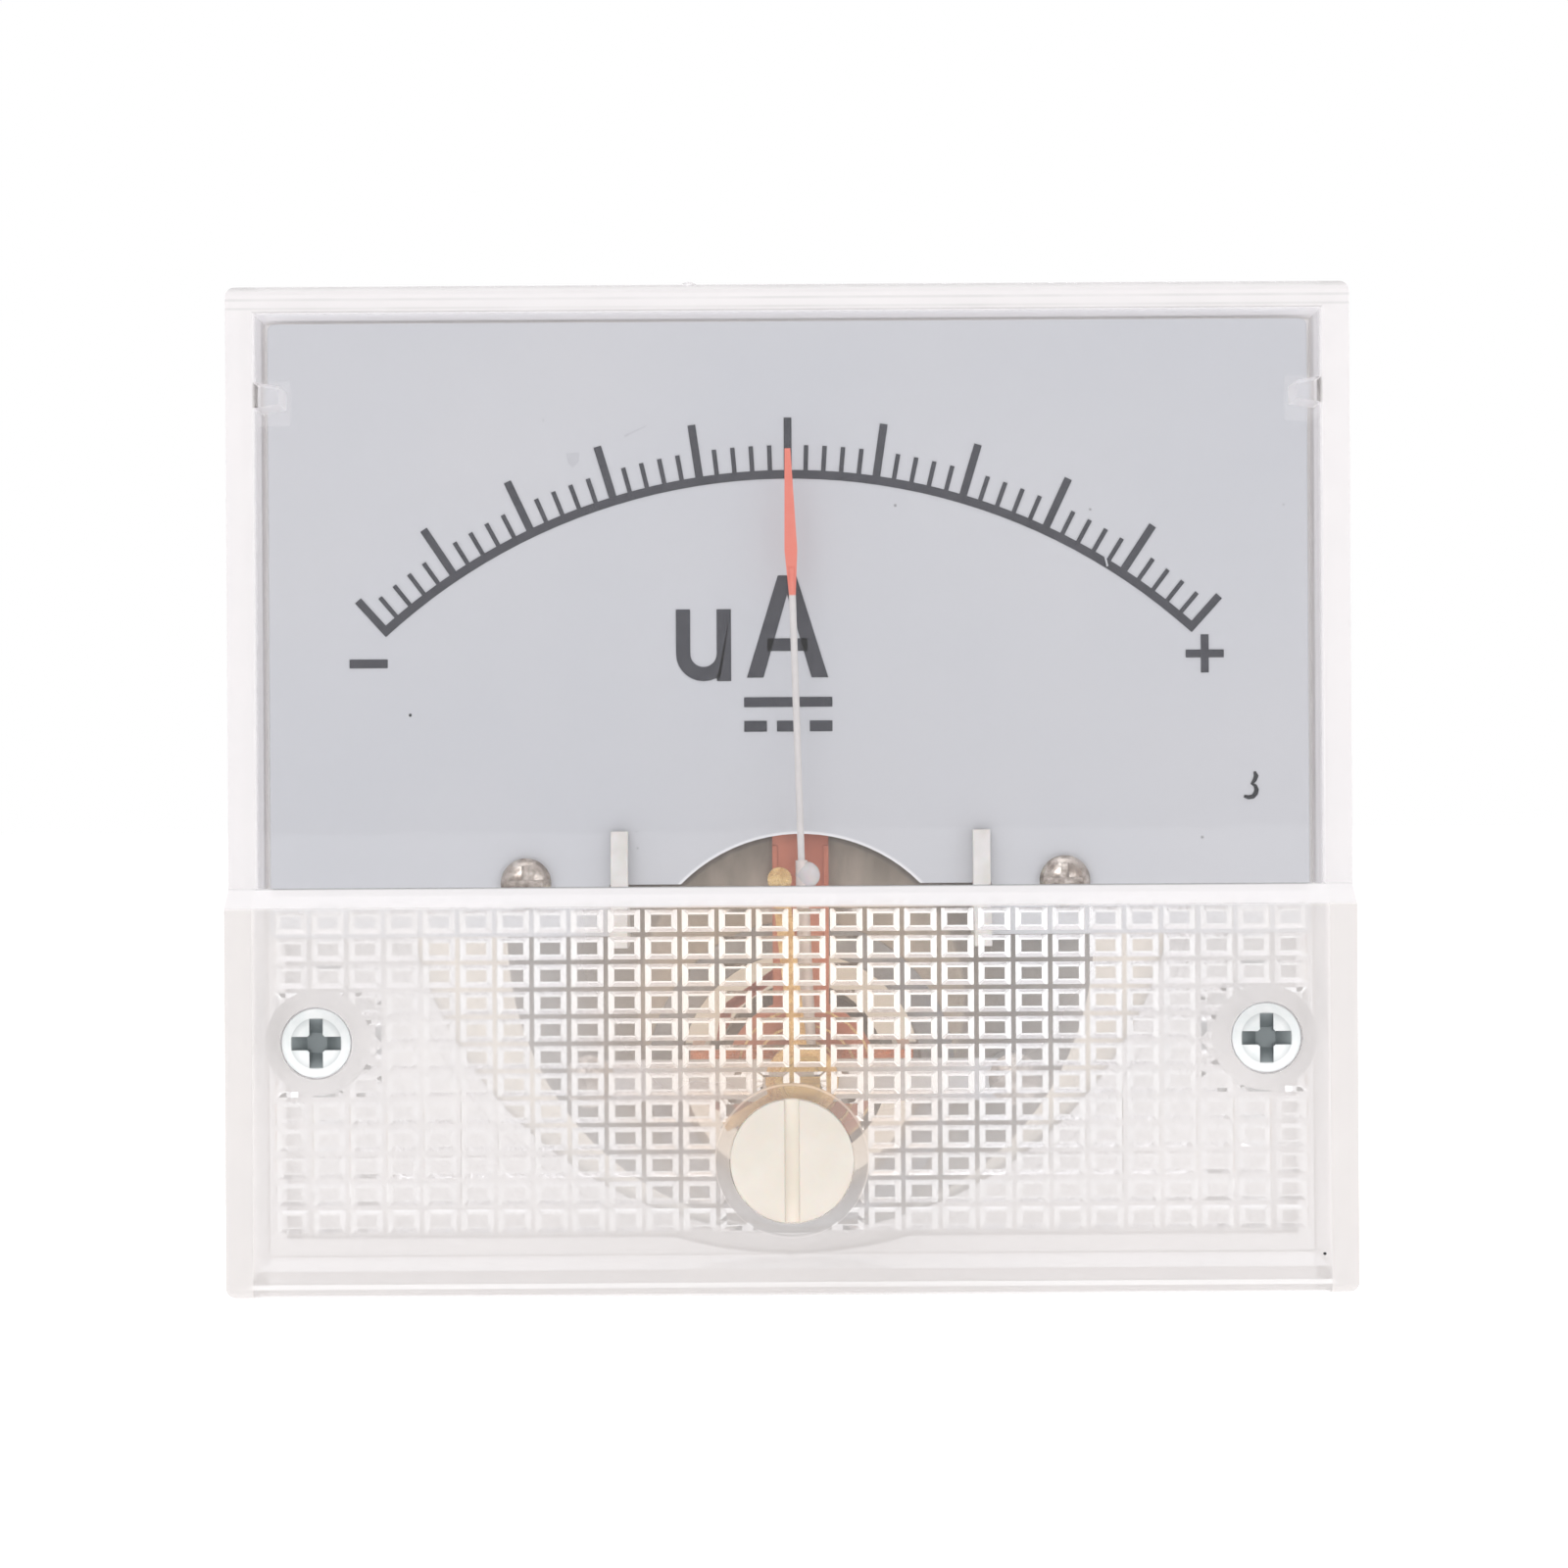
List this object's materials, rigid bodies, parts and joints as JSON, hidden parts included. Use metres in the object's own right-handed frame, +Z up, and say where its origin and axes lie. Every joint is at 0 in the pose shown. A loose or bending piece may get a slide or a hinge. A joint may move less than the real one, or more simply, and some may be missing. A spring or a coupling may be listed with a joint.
{
  "type": "analog panel meter",
  "caption": "Moving-coil panel meter with a clear front cover, centre-zero scale, screwdriver zero adjuster, round rear barrel and stud terminals.",
  "frame": {"origin": "on the axis of the round barrel, in the plane of the flange's rear face, which seats on the panel", "axes": "+Y along the barrel into the panel, so the scale faces -Y; +Z up the dial; +X to the right of someone reading it"},
  "size_m": [0.064, 0.0568, 0.0574],
  "materials": {
    "clear_cover": "clear moulded styrene, polished outside",
    "ivory_plastic": "moulded, slightly glossy",
    "housing_plastic": "moulded, satin",
    "dial_paint": "flat enamel on aluminium sheet",
    "dial_ink": "printed ink",
    "nickel": "nickel plate, slightly tarnished",
    "cream_plastic": "moulded",
    "cast_frame": "die cast, dull",
    "soft_iron": "turned, zinc plated",
    "magnet": "cast and ground",
    "copper_sheet": "copper alloy sheet, satin",
    "brass": "turned",
    "spring_bronze": "rolled ribbon",
    "aluminium": "stamped sheet",
    "copper_wire": "enamelled wire, wound",
    "steel": "turned and polished",
    "pointer_paint": "pale translucent rod with a painted red tip",
    "brown_insulation": "laminate",
    "red_lead": "insulated wire",
    "zinc": "zinc plate, bluish",
    "tin": "tinned brass sheet"
  },
  "bodies": {
    "housing": {"front_cover": "clear_cover", "base_housing": "housing_plastic", "barrel_shell": "housing_plastic", "dial_plate": "dial_paint", "scale_marks": "dial_ink", "dial_screws": "nickel", "pointer_stops": "cream_plastic", "movement_frame": "cast_frame", "yoke_ring": "soft_iron", "core_magnet": "magnet", "core_strap": "copper_sheet", "strap_screws": "nickel", "bridge_pillars": "aluminium", "front_bridge": "aluminium", "rear_bridge": "aluminium", "bridge_screws": "nickel", "front_jewel_screw": "brass", "rear_jewel_screw": "brass", "jewel_nuts": "brass", "rear_hairspring": "spring_bronze", "rear_spring_tab": "spring_bronze", "support_columns": "brass", "column_screws": "nickel", "insulating_bush": "brown_insulation", "lead_wire": "red_lead", "terminal_studs": "brass", "terminal_nuts": "brass", "terminal_washers": "zinc", "solder_lugs": "tin", "mounting_screws": "zinc"},
    "moving_coil": {"coil_former": "aluminium", "coil_winding": "copper_wire", "front_staff": "steel", "rear_staff": "steel", "pointer_carrier": "aluminium", "balance_weights": "brass", "pointer": "pointer_paint"},
    "adjuster": {"zero_adjuster": "ivory_plastic"},
    "regulator": {"zero_lever": "spring_bronze", "front_hairspring": "spring_bronze"}
  },
  "joints": [
    {"name": "pointer_swing", "type": "hinge", "parent": "housing", "child": "moving_coil", "pos_m": [0.0006, -0.007, -0.0135], "axis": [0, 1, 0], "range_deg": [-43.5, 43.5], "stiffness_Nm_per_rad": 0.00002},
    {"name": "zero_adjust_turn", "type": "hinge", "parent": "housing", "child": "adjuster", "pos_m": [0, -0.0145, -0.0178], "axis": [0, 1, 0], "range_deg": [-45, 45]},
    {"name": "regulator_swing", "type": "hinge", "parent": "housing", "child": "regulator", "pos_m": [0.0006, -0.0092, -0.0135], "axis": [0, 1, 0], "range_deg": [-7.92, 7.92]}
  ],
  "couplings": [
    {"joint": "zero_adjust_turn", "follows": "regulator_swing", "ratio": 5.6818}
  ]
}
